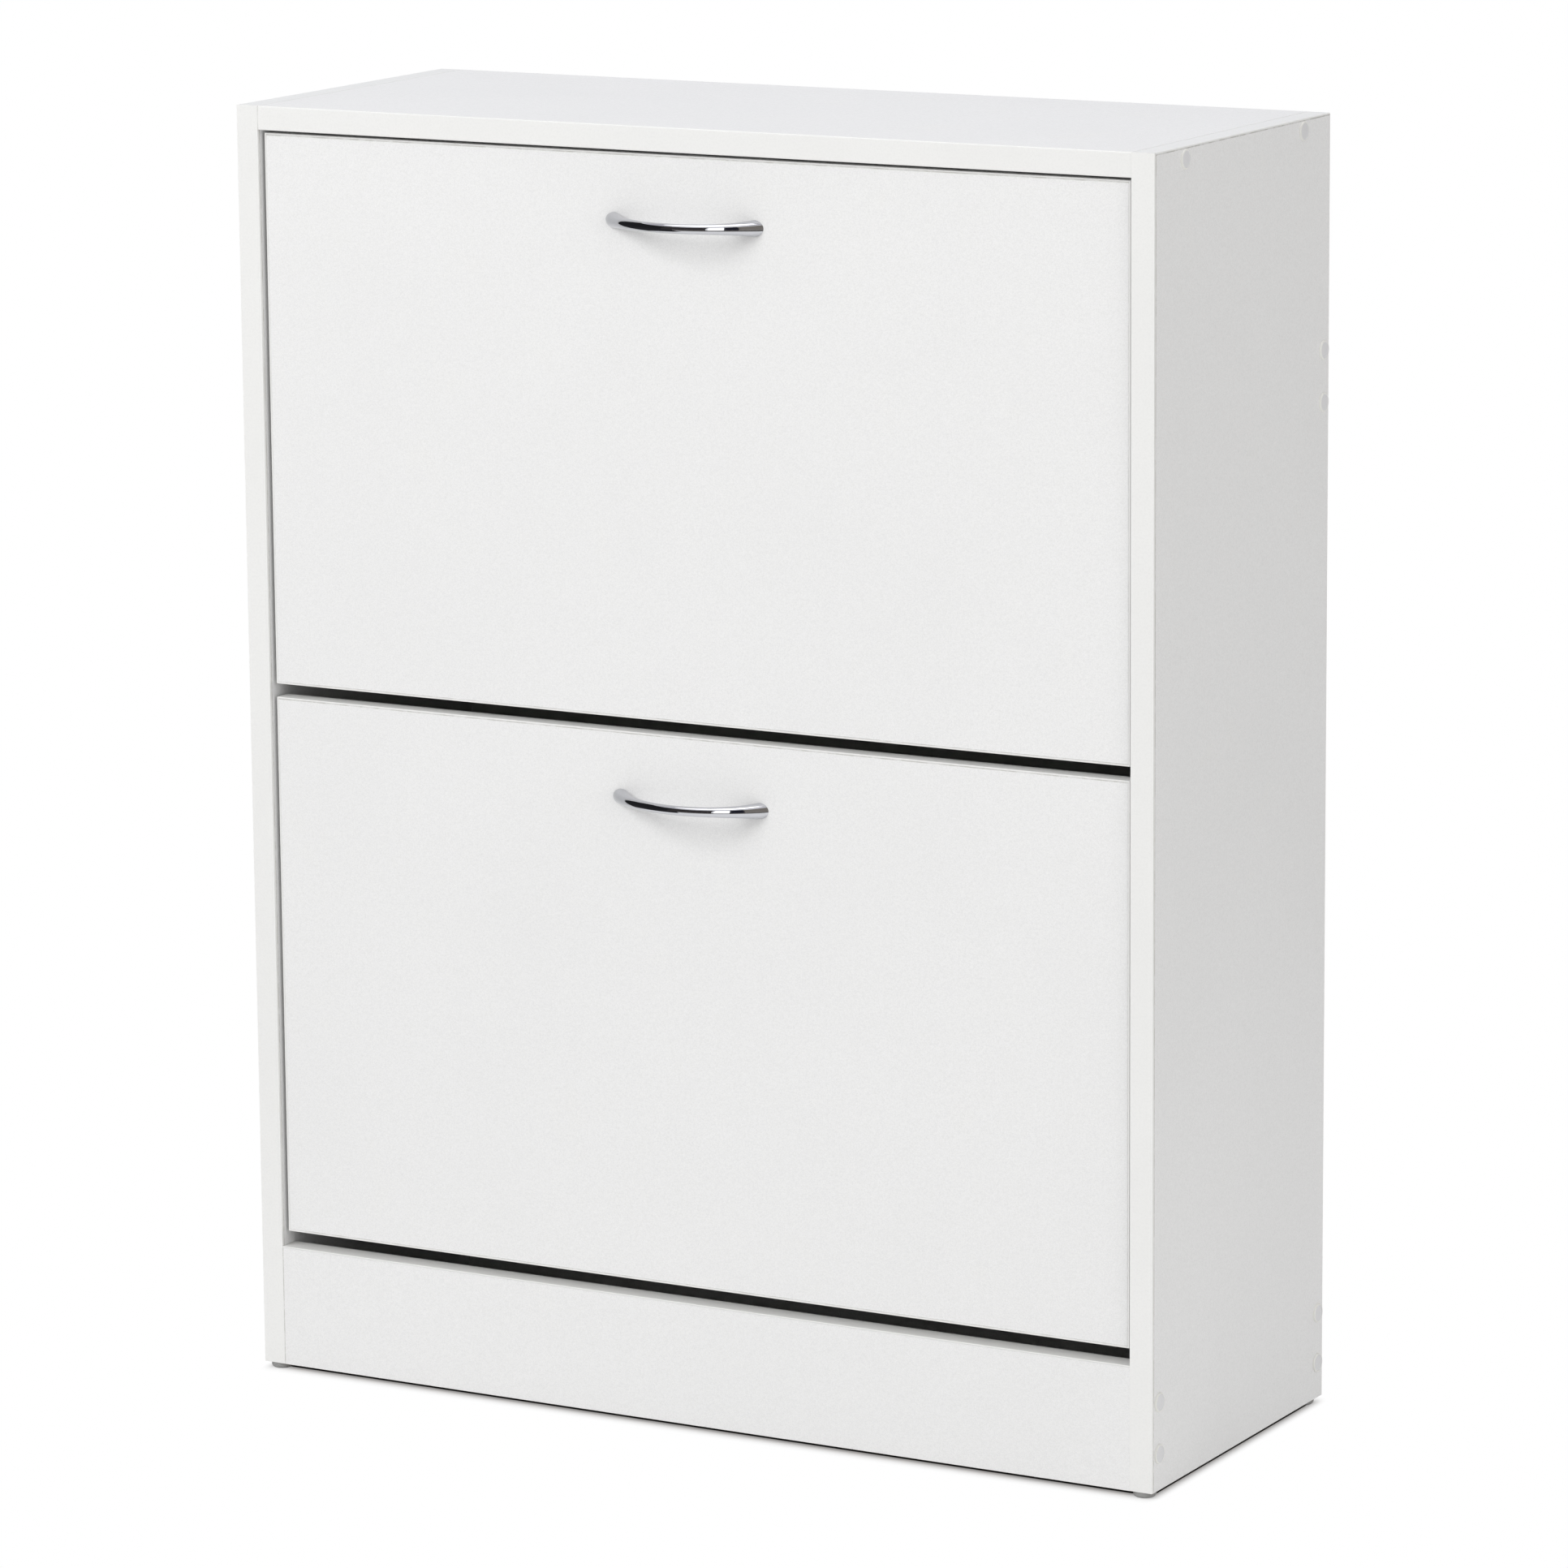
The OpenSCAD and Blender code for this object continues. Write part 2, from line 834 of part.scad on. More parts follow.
side_panel_left();
side_panel_right();
side_front_band_left();
side_front_band_right();
side_top_band_left();
side_top_band_right();
top_panel();
top_front_band();
plinth_panel();
plinth_top_band();
rear_rail_lower();
rear_rail_upper();
back_sheet_lower();
back_sheet_upper();
back_joint_strip();
back_nails();
carcass_screws();
screw_caps();
foot_glide_front_left();
foot_glide_front_right();
foot_glide_rear_left();
foot_glide_rear_right();
glide_nails();
pivot_plugs();
stop_pins();
upper_door_panel();
upper_door_band();
upper_handle();
upper_handle_screws();
upper_rack_side_left();
upper_rack_side_right();
upper_rack_floor();
upper_rack_divider();
upper_rack_shelf();
upper_rack_wall();
upper_rack_screws();
lower_door_panel();
lower_door_band();
lower_handle();
lower_handle_screws();
lower_rack_side_left();
lower_rack_side_right();
lower_rack_floor();
lower_rack_divider();
lower_rack_shelf();
lower_rack_wall();
lower_rack_screws();
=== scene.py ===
"""White two-flap tilt-out shoe cabinet: its looks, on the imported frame.

Metres, X to the right, Y to the back, Z up, floor at z = 0. Every piece stands where its CAD node stands.
"""

import json
import math

import bmesh
import bpy
from mathutils import Matrix, Vector


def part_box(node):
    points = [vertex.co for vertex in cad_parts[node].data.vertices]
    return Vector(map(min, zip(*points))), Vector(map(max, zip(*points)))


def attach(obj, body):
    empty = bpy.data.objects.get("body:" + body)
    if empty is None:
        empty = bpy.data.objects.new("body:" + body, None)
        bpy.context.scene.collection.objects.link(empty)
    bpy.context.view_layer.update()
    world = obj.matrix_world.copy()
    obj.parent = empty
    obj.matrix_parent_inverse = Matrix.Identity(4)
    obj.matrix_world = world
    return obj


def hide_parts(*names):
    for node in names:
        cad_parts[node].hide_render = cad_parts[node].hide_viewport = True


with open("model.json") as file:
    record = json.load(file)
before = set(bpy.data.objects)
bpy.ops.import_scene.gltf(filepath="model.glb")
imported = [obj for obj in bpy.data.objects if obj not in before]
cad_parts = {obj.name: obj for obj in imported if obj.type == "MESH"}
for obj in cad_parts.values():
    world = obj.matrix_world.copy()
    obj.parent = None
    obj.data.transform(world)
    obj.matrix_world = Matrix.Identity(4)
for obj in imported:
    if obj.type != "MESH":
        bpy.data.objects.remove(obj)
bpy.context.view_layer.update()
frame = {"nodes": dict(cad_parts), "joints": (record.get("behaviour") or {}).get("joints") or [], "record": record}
NODES = frame["nodes"]
BODY_OF = {n: b for b, names in frame["record"]["behaviour"]["bodies"].items() for n in names}
MM = 0.001
SHARP = 38  # degrees: an edge between faces that turn more than this is eased
FINE = 2  # rows of faces in the easing of a small edge

# ---------------------------------------------------------------- working by hand


def put_down():
    """Leaves edit mode with nothing selected."""
    if bpy.context.object and bpy.context.object.mode != "OBJECT":
        bpy.ops.object.mode_set(mode="OBJECT")
    bpy.ops.object.select_all(action="DESELECT")


def take(piece):
    """Selects one piece alone and makes it the active one."""
    put_down()
    piece.select_set(True)
    bpy.context.view_layer.objects.active = piece


def open_mesh(piece):
    """Enters edit mode on a piece with nothing selected."""
    take(piece)
    bpy.ops.object.mode_set(mode="EDIT")
    bpy.ops.mesh.select_mode(type="FACE")
    bpy.ops.mesh.select_all(action="DESELECT")


def close_mesh():
    bpy.ops.object.mode_set(mode="OBJECT")


def choose_faces(piece, test):
    """In edit mode: selects the faces whose middle and normal pass the test."""
    bpy.ops.mesh.select_mode(type="FACE")
    bpy.ops.mesh.select_all(action="DESELECT")
    mesh = bmesh.from_edit_mesh(piece.data)
    for face in mesh.faces:
        if test(face.calc_center_median(), face.normal):
            face.select_set(True)
    mesh.select_flush_mode()
    bmesh.update_edit_mesh(piece.data)


def choose_edges(piece, test):
    """In edit mode: selects the edges whose two ends pass the test."""
    bpy.ops.mesh.select_mode(type="EDGE")
    bpy.ops.mesh.select_all(action="DESELECT")
    mesh = bmesh.from_edit_mesh(piece.data)
    for edge in mesh.edges:
        if test(edge.verts[0].co, edge.verts[1].co):
            edge.select_set(True)
    mesh.select_flush_mode()
    bmesh.update_edit_mesh(piece.data)


def settle(piece):
    """Moves a piece's place into its mesh."""
    take(piece)
    bpy.ops.object.transform_apply(location=True, rotation=True, scale=True)
    return piece


def add_modifier(piece, kind, **settings):
    """Adds a modifier to a piece and applies it."""
    take(piece)
    made = piece.modifiers.new(kind.lower(), kind)
    for key, value in settings.items():
        setattr(made, key, value)
    bpy.ops.object.modifier_apply(modifier=made.name)


def smooth(piece, angle=35):
    """Smooth shading over small bevels, with the large faces kept flat."""
    take(piece)
    bpy.ops.object.shade_smooth_by_angle(angle=math.radians(angle))
    add_modifier(piece, "WEIGHTED_NORMAL", mode="FACE_AREA", weight=100, keep_sharp=True)


def outward(piece):
    """Merges doubled points and turns every face outwards."""
    open_mesh(piece)
    bpy.ops.mesh.select_all(action="SELECT")
    bpy.ops.mesh.remove_doubles(threshold=1e-6)
    bpy.ops.mesh.normals_make_consistent(inside=False)
    close_mesh()


def repeat(piece, places, turn=None):
    """One object that holds a copy of the piece's mesh at each place, turned by turn(place) if given."""
    made = []
    for spot in places:
        copy = piece.copy()
        copy.data = piece.data.copy()
        bpy.context.scene.collection.objects.link(copy)
        move = Matrix.Translation(spot)
        if turn is not None:
            move = move @ turn(spot)
        copy.data.transform(move)
        if move.determinant() < 0:
            copy.data.flip_normals()
        made.append(copy)
    put_down()
    for copy in made:
        copy.select_set(True)
    bpy.context.view_layer.objects.active = made[0]
    if len(made) > 1:
        bpy.ops.object.join()
    bpy.data.objects.remove(piece)
    return made[0]


def stand_for(piece, node, finish):
    """Names a finished piece after the node it stands for, and gives it its finish and body."""
    piece.name = node + "_made"
    if finish is not None:
        piece.data.materials.clear()
        piece.data.materials.append(finish)
    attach(piece, BODY_OF[node])
    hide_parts(node)


def eased(node, finish, width, segments=FINE, cuts=()):
    """A copy of a board or moulding with its sharp edges eased, width in millimetres.

    cuts lists planes, each a point and a direction, that part its pierced faces into simple ones.
    """
    piece = bpy.data.objects.new(node + "_made", NODES[node].data.copy())
    bpy.context.scene.collection.objects.link(piece)
    open_mesh(piece)
    bpy.ops.mesh.customdata_custom_splitnormals_clear()
    bpy.ops.mesh.select_all(action="SELECT")
    bpy.ops.mesh.remove_doubles(threshold=2e-6)
    bpy.ops.mesh.select_mode(type="EDGE")
    for point, direction in cuts:
        bpy.ops.mesh.select_all(action="SELECT")
        bpy.ops.mesh.bisect(plane_co=point, plane_no=direction, threshold=1e-5)
        bpy.ops.mesh.mark_seam(clear=False)
    bpy.ops.mesh.select_all(action="SELECT")
    bpy.ops.mesh.dissolve_limited(angle_limit=math.radians(0.6), delimit={"SEAM"})
    close_mesh()
    add_modifier(
        piece, "BEVEL", width=width * MM, segments=segments, limit_method="ANGLE",
        angle_limit=math.radians(SHARP), use_clamp_overlap=True, miter_outer="MITER_ARC",
    )
    smooth(piece)
    stand_for(piece, node, finish)


def strip(node, finish, width):
    """A straight strip of banding that fills its place to the corners, edges eased by width millimetres."""
    low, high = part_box(node)
    put_down()
    bpy.ops.mesh.primitive_cube_add(size=1, location=(low + high) / 2)
    bpy.context.object.scale = high - low
    piece = settle(bpy.context.object)
    add_modifier(piece, "BEVEL", width=width * MM, segments=FINE, limit_method="ANGLE")
    smooth(piece)
    stand_for(piece, node, finish)


# ---------------------------------------------------------------- finishes


class Value:
    """One value in a node tree. Sums on it add Math nodes."""

    def __init__(self, graph, out):
        self.graph = graph
        self.out = out

    def math(self, operation, first, second=0.0, clamp=False):
        settings = {"operation": operation, "use_clamp": clamp}
        return self.graph.node("ShaderNodeMath", settings, {0: first, 1: second})

    def __add__(self, other):
        return self.math("ADD", self, other)

    def __radd__(self, other):
        return self.math("ADD", other, self)

    def __sub__(self, other):
        return self.math("SUBTRACT", self, other)

    def __rsub__(self, other):
        return self.math("SUBTRACT", other, self)

    def __mul__(self, other):
        return self.math("MULTIPLY", self, other)

    def __rmul__(self, other):
        return self.math("MULTIPLY", other, self)

    def __pow__(self, other):
        return self.math("POWER", self, other)

    def __abs__(self):
        return self.math("ABSOLUTE", self)

    def over(self, limit):
        """1 where the value is above the limit, else 0."""
        return self.math("GREATER_THAN", self, limit)

    def held(self):
        """The value kept between 0 and 1."""
        return self.math("ADD", self, 0.0, clamp=True)

    def rise(self, low, high):
        """0 below low, 1 above high, smooth between."""
        return self.graph.node(
            "ShaderNodeMapRange", {"interpolation_type": "SMOOTHSTEP"},
            {"Value": self, "From Min": low, "From Max": high},
        )


def as_colour(tone):
    """A fixed colour gets its fourth number, and one that nodes work out stays as it is."""
    return tone if isinstance(tone, Value) else (*tone, 1.0)


class Graph:
    """A node tree that is built up node by node."""

    def __init__(self, tree):
        self.tree = tree

    def node(self, kind, settings, inputs, output=0):
        """Adds a node, sets and links its inputs, and returns one of its outputs."""
        made = self.tree.nodes.new(kind)
        for key, value in settings.items():
            if key == "stops":
                while len(made.color_ramp.elements) < len(value):
                    made.color_ramp.elements.new(0.5)
                for stop, (at, colour) in zip(made.color_ramp.elements, value):
                    stop.position = at
                    stop.color = (*colour, 1.0)
            else:
                setattr(made, key, value)
        for key, value in inputs.items():
            if isinstance(value, Value):
                self.tree.links.new(value.out, made.inputs[key])
            else:
                made.inputs[key].default_value = value
        return Value(self, made.outputs[output])

    def end_in(self, kind, surface):
        """Adds the tree's output node, which shows the surface."""
        out = self.tree.nodes.new(kind)
        self.tree.links.new(surface.out, out.inputs["Surface"])


class Finish(Graph):
    """One procedural material. Constants are set on the shader's own sockets."""

    def __init__(self, name, **constants):
        self.material = bpy.data.materials.new(name)
        self.material.use_nodes = True
        super().__init__(self.material.node_tree)
        self.shader = self.tree.nodes["Principled BSDF"]
        for key, value in constants.items():
            self.shader.inputs[key.replace("_", " ")].default_value = value
        self.place = self.node("ShaderNodeTexCoord", {}, {}, "Object")

    def drive(self, socket, value):
        self.tree.links.new(value.out, self.shader.inputs[socket])

    def noise(self, scale, detail=2.0, rough=0.5, place=None):
        return self.node(
            "ShaderNodeTexNoise", {},
            {"Vector": place or self.place, "Scale": scale, "Detail": detail, "Roughness": rough},
        )

    def cells(self, scale, output="Distance", place=None):
        return self.node(
            "ShaderNodeTexVoronoi", {}, {"Vector": place or self.place, "Scale": scale}, output
        )

    def stretched(self, factors):
        return self.node("ShaderNodeMapping", {}, {"Vector": self.place, "Scale": factors})

    def parts(self, vector):
        return [self.node("ShaderNodeSeparateXYZ", {}, {0: vector}, axis) for axis in "XYZ"]

    def facing(self):
        """X, Y and Z of the surface's normal on the piece itself."""
        return self.parts(self.node("ShaderNodeTexCoord", {}, {}, "Normal"))

    def mix(self, share, first, second):
        """The first colour where share is 0, the second where it is 1."""
        colours = {0: share, 6: as_colour(first), 7: as_colour(second)}
        return self.node("ShaderNodeMix", {"data_type": "RGBA"}, colours, 2)

    def ramp(self, value, stops):
        return self.node("ShaderNodeValToRGB", {"stops": stops}, {0: value})

    def relief(self, height, strength, depth):
        inputs = {"Strength": strength, "Distance": depth, "Height": height}
        return self.node("ShaderNodeBump", {}, inputs)


def toned(colour, *shares):
    """A fixed colour times one share, or times one share a channel."""
    return tuple(c * share for c, share in zip(colour, shares * 3))


def darkened(f, colour, share):
    """A worked-out colour times a share."""
    return f.node("ShaderNodeVectorMath", {"operation": "SCALE"}, {0: colour, "Scale": share})


def turned_to(f, faces, limit):
    """1 on the faces that look along any of the axes given, each as a letter and a sign, else 0."""
    normal = f.facing()
    shown = [(normal["XYZ".index(axis)] * sign).over(limit) for axis, sign in faces]
    return sum(shown[1:], shown[0]).held()


def add_specks(f, colour, tone, scale, size, share):
    """Sparse dark specks pressed into a foil: share of the cells, scale to a metre, hold one each."""
    near = 1 - f.cells(scale).rise(size * 0.5, size)
    red = f.parts(f.cells(scale, "Color"))[0]
    return f.mix(near * (1 - red.over(share)) * 0.75, colour, tone)


def chip_colour(f):
    """Cut chipboard: tan and brown chips with darker glue between them."""
    grain = f.cells(520.0, place=f.stretched((1.0, 0.55, 1.0)))
    tint = f.parts(f.cells(520.0, "Color", place=f.stretched((1.0, 0.55, 1.0))))[1]
    wood = f.ramp(
        tint, [(0.0, (0.16, 0.085, 0.04)), (0.45, (0.36, 0.22, 0.11)), (1.0, (0.55, 0.38, 0.2))]
    )
    return f.mix(grain.rise(0.45, 0.75), wood, (0.1, 0.055, 0.03)), grain


def joint_line_and_painted_seam_shade(f, colour, axis, place, reach, tone, share):
    """A thin broken dark line where a strip of banding meets a board: glue and dust at a joint, and at the left
    joint also painted seam shade.
    """
    near = 1 - abs(f.parts(f.place)["XYZ".index(axis)] - place).rise(reach * 0.3, reach)
    broken = f.noise(95.0, 4.0, 0.7).rise(0.38, 0.6)
    return f.mix(near * (0.35 + broken * 0.65) * share, colour, tone)


def board_finish(name, white, raw=(), seams=()):
    """White melamine foil: pearl texture, faint clouding, handling marks and pressed-in specks.

    raw lists the faces that are cut and left bare, seams where dark joint lines run: glue lines of banding, and
    painted seam shade at the left joint.
    """
    f = Finish(name, Specular_IOR_Level=0.42)
    clouds = f.noise(6.0, 3.0)
    pearl = f.noise(640.0, 3.0, 0.6)
    fine = f.noise(1500.0, 2.0, 0.7)
    marks = f.noise(19.0, 5.0, 0.62)
    colour = f.mix(clouds.rise(0.35, 0.7) * 0.5, white, toned(white, 0.972))
    colour = f.mix(marks.rise(0.58, 0.74) * 0.35, colour, toned(white, 0.992, 0.988, 0.966))
    colour = f.mix(pearl.rise(0.42, 0.66) * 0.5, colour, toned(white, 0.93))
    colour = f.mix(fine.rise(0.34, 0.66), colour, darkened(f, colour, 0.93))
    colour = add_specks(f, colour, (0.36, 0.33, 0.29), 34.0, 0.012, 0.16)
    for axis, place, reach, tone, share in seams:
        colour = joint_line_and_painted_seam_shade(f, colour, axis, place, reach, tone, share)
    rough = 0.40 + marks * 0.12 + pearl * 0.06
    height = pearl * 0.7 + fine * 0.3
    if raw:
        bare = turned_to(f, raw, 0.8)
        chips, grain = chip_colour(f)
        colour = f.mix(bare, colour, chips)
        rough = rough + bare * 0.4
        height = height + bare * grain * 4.0
    f.drive("Base Color", colour)
    f.drive("Roughness", rough)
    f.drive("Normal", f.relief(height, 0.22, 0.0002))
    return f.material


def banding_finish(name, white, seam=None):
    """Extruded plastic edge banding: satin, fine draw lines along it, a little warmer than the foil."""
    f = Finish(name, Specular_IOR_Level=0.5)
    clouds = f.noise(11.0, 3.0)
    lines = f.noise(1500.0, 2.0, place=f.stretched((1.0, 1.0, 0.02)))
    peel = f.noise(700.0, 2.0)
    marks = f.noise(26.0, 5.0, 0.6)
    colour = f.mix(clouds.rise(0.35, 0.7) * 0.5, white, toned(white, 0.975))
    colour = f.mix(marks.rise(0.6, 0.75) * 0.4, colour, toned(white, 0.985, 0.975, 0.94))
    colour = f.mix(peel.rise(0.42, 0.66) * 0.4, colour, toned(white, 0.94))
    if seam is not None:
        colour = joint_line_and_painted_seam_shade(f, colour, *seam)
    f.drive("Base Color", colour)
    f.drive("Roughness", 0.31 + marks * 0.13 + lines * 0.05)
    f.drive("Normal", f.relief(lines * 0.5 + peel * 0.5, 0.1, 0.00015))
    return f.material


def hardboard_finish(name, white, raw=()):
    """Thin hardboard: white lacquer with a faint roller stipple. raw lists faces of bare brown fibre."""
    f = Finish(name, Specular_IOR_Level=0.4)
    stipple = f.noise(1400.0, 3.0)
    clouds = f.noise(7.0, 3.0)
    colour = f.mix(clouds.rise(0.35, 0.7) * 0.6, white, toned(white, 0.965))
    colour = add_specks(f, colour, (0.42, 0.36, 0.28), 42.0, 0.014, 0.2)
    rough = 0.34 + stipple * 0.1
    height = stipple
    if raw:
        fibre = f.noise(900.0, 4.0, 0.7, f.stretched((0.35, 1.0, 1.0)))
        mottle = f.noise(30.0, 4.0)
        brown = f.ramp(
            fibre, [(0.25, (0.13, 0.07, 0.035)), (0.5, (0.23, 0.135, 0.07)), (0.8, (0.34, 0.22, 0.125))]
        )
        brown = f.mix(mottle.rise(0.35, 0.75) * 0.4, brown, (0.17, 0.1, 0.055))
        bare = turned_to(f, raw, 0.6)
        colour = f.mix(bare, colour, brown)
        rough = rough + bare * 0.36
        height = height + bare * fibre * 2.5
    f.drive("Base Color", colour)
    f.drive("Roughness", rough)
    f.drive("Normal", f.relief(height, 0.14, 0.0002))
    return f.material


def moulded_finish(name, tint, rough=0.45, grain=1100.0, strength=0.2):
    """Injection-moulded plastic: spark-eroded grain, faint flow clouds and scuffs."""
    f = Finish(name, Specular_IOR_Level=0.5)
    spark = f.noise(grain, 3.0, 0.6)
    flow = f.noise(14.0, 3.0, place=f.stretched((1.0, 1.0, 0.4)))
    scuff = f.noise(160.0, 5.0, 0.7)
    scuffed = tuple(c * 0.8 + 0.03 for c in tint)
    colour = f.mix(flow.rise(0.35, 0.7) * 0.6, tint, toned(tint, 0.93))
    colour = f.mix(scuff.rise(0.62, 0.78) * 0.3, colour, scuffed)
    f.drive("Base Color", colour)
    f.drive("Roughness", rough + spark * 0.12 + scuff.rise(0.55, 0.8) * 0.12)
    f.drive("Normal", f.relief(spark, strength, 0.00025))
    return f.material


def zinc_finish():
    """Bright zinc on steel: soft blue-grey with turning marks and dull spots."""
    f = Finish("zinc_steel", Metallic=1.0)
    turned = f.noise(2400.0, 2.0, place=f.stretched((1.0, 0.1, 1.0)))
    spots = f.noise(420.0, 4.0, 0.65)
    colour = f.mix(spots.rise(0.45, 0.72), (0.66, 0.675, 0.70), (0.50, 0.50, 0.49))
    f.drive("Base Color", colour)
    f.drive("Roughness", 0.26 + spots * 0.22)
    f.drive("Normal", f.relief(turned, 0.12, 0.0001))
    return f.material


def chrome_finish():
    """Polished chrome plate with faint finger marks and hairline polishing, with a darker reflection painted where
    it faces left.
    """
    f = Finish("chrome", Metallic=1.0)
    prints = f.noise(85.0, 4.0, 0.6)
    hair = f.noise(1900.0, 2.0, place=f.stretched((0.05, 1.0, 1.0)))
    colour = f.mix(prints.rise(0.5, 0.8) * 0.5, (0.60, 0.605, 0.635), (0.55, 0.555, 0.575))
    # painted reflection: where the chrome faces left its colour is darkened, standing in for the shaded door it
    # mirrors there
    painted_dark_reflection_left = (0 - f.facing()[0]).rise(0.35, 0.85)
    colour = f.mix(painted_dark_reflection_left * 0.85, colour, (0.44, 0.455, 0.475))
    f.drive("Base Color", colour)
    f.drive("Roughness", 0.035 + prints.rise(0.52, 0.8) * 0.07 + hair * 0.02)
    f.drive("Normal", f.relief(hair, 0.02, 0.00005))
    return f.material


WHITE = (0.878, 0.878, 0.876)
EDGE = (0.858, 0.858, 0.845)
GLUE = (0.66, 0.63, 0.54)
DUST = (0.38, 0.37, 0.34)
SEAM = (0.52, 0.51, 0.48)
LACQUER = (0.80, 0.80, 0.785)

SIDE_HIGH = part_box("side_panel_right")[1]
FRONT_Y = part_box("side_front_band_right")[0].y
SEAM_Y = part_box("side_front_band_right")[1].y  # where a side's front banding meets its board
JOINT_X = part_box("top_panel")[0].x  # where the top and the plinth meet the left side


def door_seams(flap):
    """Glue lines where the banding meets the four edges of a door's face."""
    low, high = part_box(flap + "_door_panel")
    places = (("X", low.x, 0.3), ("X", high.x, 0.3), ("Z", low.z, 0.6), ("Z", high.z, 0.8))
    return [(axis, place, 0.0008, SEAM, share) for axis, place, share in places]


melamine = board_finish("white_melamine", WHITE)
melamine_door = {
    flap: board_finish("white_melamine_%s_door" % flap, WHITE, seams=door_seams(flap))
    for flap in ("upper", "lower")
}
melamine_side = board_finish(
    "white_melamine_side", WHITE, [("Y", 1), ("Z", -1)],
    [("Y", SEAM_Y, 0.0008, DUST, 0.6), ("Z", SIDE_HIGH.z, 0.0008, DUST, 0.8)],
)
# painted shade: the line at JOINT_X is a joint line darkened at the left joint only, where the seam's shade falls;
# the right joint has none
melamine_top = board_finish(
    "white_melamine_top", WHITE, [("Y", 1)],
    [("Y", SEAM_Y, 0.0006, GLUE, 0.5), ("X", JOINT_X, 0.0012, SEAM, 0.6)],
)
# painted shade: the plinth's seam line is drawn at the left joint only, where the seam's shade falls
melamine_low = board_finish(
    "white_melamine_plinth", WHITE, [("Z", -1)], [("X", JOINT_X, 0.0009, SEAM, 0.9)]
)
banding = banding_finish("edge_banding", EDGE)
banding_front = banding_finish("edge_banding_front", EDGE, ("Y", SEAM_Y, 0.0006, GLUE, 0.6))
# painted shade: the top band's seam line is drawn at the left joint only, where the seam's shade falls
banding_top = banding_finish("edge_banding_top", EDGE, ("X", JOINT_X, 0.0008, SEAM, 0.8))
# painted shade: the plinth's top band takes the darker lacquer tone, for the shade of the door above it
banding_plinth_painted_shade = banding_finish("edge_banding_plinth_painted_shade", LACQUER)
hardboard_back = hardboard_finish("hardboard_back", LACQUER, [("Y", 1)])
hardboard_rack = hardboard_finish("hardboard_rack", LACQUER)
white_plastic = moulded_finish("white_plastic", (0.80, 0.80, 0.79))
rack_plastic = moulded_finish("rack_plastic", (0.74, 0.74, 0.735), 0.42, 900.0)
cap_disc = moulded_finish("cap_disc_plastic", (0.755, 0.755, 0.768), 0.38, 1500.0, 0.12)
cap_rim = moulded_finish("cap_rim_plastic", (0.86, 0.855, 0.82), 0.34, 1500.0, 0.08)
glide_plastic = moulded_finish("glide_plastic", (0.3, 0.3, 0.295), 0.5, 800.0, 0.35)
zinc = zinc_finish()
chrome = chrome_finish()

# ---------------------------------------------------------------- carcass

for side, top_edge in (("left", 0.3), ("right", 0.1)):
    eased("side_panel_" + side, melamine_side, 0.25)
    strip("side_front_band_" + side, banding_front, 0.12)
    eased("side_top_band_" + side, banding, top_edge)
eased("top_panel", melamine_top, 0.12)
eased("top_front_band", banding_top, 0.08)
eased("plinth_panel", melamine_low, 0.05)
eased("plinth_top_band", banding_plinth_painted_shade, 0.25)
eased("rear_rail_lower", melamine_low, 0.25)
eased("rear_rail_upper", melamine, 0.25)
eased("back_sheet_lower", hardboard_back, 0.2)
eased("back_sheet_upper", hardboard_back, 0.2)
eased("back_joint_strip", white_plastic, 0.3)
eased("pivot_plugs", white_plastic, 0.4, 3)

for node in ("carcass_screws", "glide_nails", "stop_pins"):
    for spot in NODES[node].material_slots:
        spot.link = "OBJECT"
        spot.material = zinc

# ---------------------------------------------------------------- small fittings


def solid_boxes(node):
    """Lowest and highest corners of each separate solid of a node, left to right."""
    mesh = bmesh.new()
    mesh.from_mesh(NODES[node].data)
    bmesh.ops.remove_doubles(mesh, verts=mesh.verts, dist=2e-6)
    left, found = set(mesh.verts), []
    while left:
        start = left.pop()
        group, queue = [start], [start]
        while queue:
            for edge in queue.pop().link_edges:
                for vert in edge.verts:
                    if vert in left:
                        left.remove(vert)
                        group.append(vert)
                        queue.append(vert)
        low = Vector(min(v.co[i] for v in group) for i in range(3))
        high = Vector(max(v.co[i] for v in group) for i in range(3))
        found.append((low, high))
    mesh.free()
    return sorted(found, key=lambda b: tuple(round(c, 5) for c in b[0]))


def cover_cap():
    """Push-in screw cap, its face along +X: a soft outer rim round a slightly dished disc."""
    radius, thick, disc = 6.0 * MM, 1.2 * MM, 5.1 * MM
    step, sunk, ring = 0.25 * MM, 0.28 * MM, 1.6 * MM
    bpy.ops.mesh.primitive_cylinder_add(
        vertices=48, radius=radius, depth=thick, location=(thick / 2, 0, 0),
        rotation=(0, math.radians(90), 0),
    )
    cap = settle(bpy.context.object)
    open_mesh(cap)
    choose_edges(cap, lambda a, b: min(a.x, b.x) > thick - 0.1 * MM)
    bpy.ops.mesh.bevel(offset=0.7 * MM, segments=4, affect="EDGES")
    choose_faces(cap, lambda c, n: n.x > 0.99 and c.x > thick - 0.01 * MM)
    for width, rise in ((step, 0), (step, -sunk), (ring, 0.05 * MM), (ring, 0.04 * MM)):
        bpy.ops.mesh.inset(thickness=width, depth=rise)
    close_mesh()
    cap.data.materials.append(cap_rim)
    cap.data.materials.append(cap_disc)
    for face in cap.data.polygons:
        face.material_index = int(math.hypot(face.center.y, face.center.z) < disc)
    smooth(cap, 30)
    return cap


def facing_out(spot):
    """A turn of what faces +X so that it faces away from the cabinet's middle."""
    return Matrix.Scale(math.copysign(1, spot.x), 4, Vector((1, 0, 0)))


cap_spots = [
    Vector((math.copysign(SIDE_HIGH.x, low.x), (low.y + high.y) / 2, (low.z + high.z) / 2))
    for low, high in solid_boxes("screw_caps")
]
stand_for(repeat(cover_cap(), cap_spots, facing_out), "screw_caps", None)


